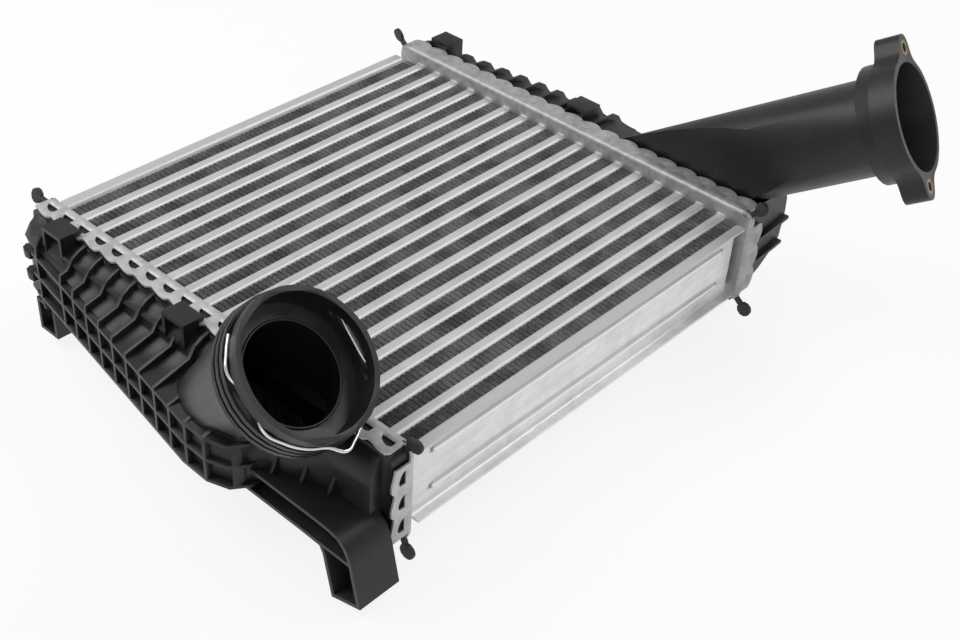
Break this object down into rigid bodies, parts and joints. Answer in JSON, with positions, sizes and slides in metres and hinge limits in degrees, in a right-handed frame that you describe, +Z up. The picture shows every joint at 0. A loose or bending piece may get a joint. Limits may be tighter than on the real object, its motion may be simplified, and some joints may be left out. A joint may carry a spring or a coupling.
{
  "type": "charge air cooler",
  "caption": "Air-to-air charge cooler: flat tubes and folded fins between header plates, ribbed black tanks, a round inlet socket with wire clip and a long outlet neck with a two-bolt flange.",
  "frame": {"origin": "centre of the bounding box", "axes": "X runs along the tubes from the socket tank at minus X to the flange tank at plus X, Y runs across the stack of tubes, +Z is up, towards the side the socket opens to"},
  "size_m": [0.4276, 0.3736, 0.18],
  "materials": {
    "tube_aluminium": "brazed mill finish, satin",
    "fin_aluminium": "brazed sheet, dull",
    "plate_aluminium": "pressed sheet, satin",
    "tank_plastic": "moulded glass-filled nylon, satin black",
    "seal_rubber": "moulded rubber",
    "insert_brass": "turned",
    "clip_steel": "bright spring wire"
  },
  "bodies": {
    "root": {"tube_01": "tube_aluminium", "tube_02": "tube_aluminium", "tube_03": "tube_aluminium", "tube_04": "tube_aluminium", "tube_05": "tube_aluminium", "tube_06": "tube_aluminium", "tube_07": "tube_aluminium", "tube_08": "tube_aluminium", "tube_09": "tube_aluminium", "tube_10": "tube_aluminium", "tube_11": "tube_aluminium", "tube_12": "tube_aluminium", "tube_13": "tube_aluminium", "tube_14": "tube_aluminium", "tube_15": "tube_aluminium", "tube_16": "tube_aluminium", "tube_17": "tube_aluminium", "fin_01": "fin_aluminium", "fin_02": "fin_aluminium", "fin_03": "fin_aluminium", "fin_04": "fin_aluminium", "fin_05": "fin_aluminium", "fin_06": "fin_aluminium", "fin_07": "fin_aluminium", "fin_08": "fin_aluminium", "fin_09": "fin_aluminium", "fin_10": "fin_aluminium", "fin_11": "fin_aluminium", "fin_12": "fin_aluminium", "fin_13": "fin_aluminium", "fin_14": "fin_aluminium", "fin_15": "fin_aluminium", "fin_16": "fin_aluminium", "fin_17": "fin_aluminium", "fin_18": "fin_aluminium", "inner_fins": "fin_aluminium", "side_plate_front": "plate_aluminium", "side_plate_rear": "plate_aluminium", "header_plate_left": "plate_aluminium", "header_plate_right": "plate_aluminium", "gasket_left": "seal_rubber", "gasket_right": "seal_rubber", "tank_left": "tank_plastic", "tank_right": "tank_plastic", "flange_inserts": "insert_brass", "retaining_clip": "clip_steel"}
  },
  "joints": []
}
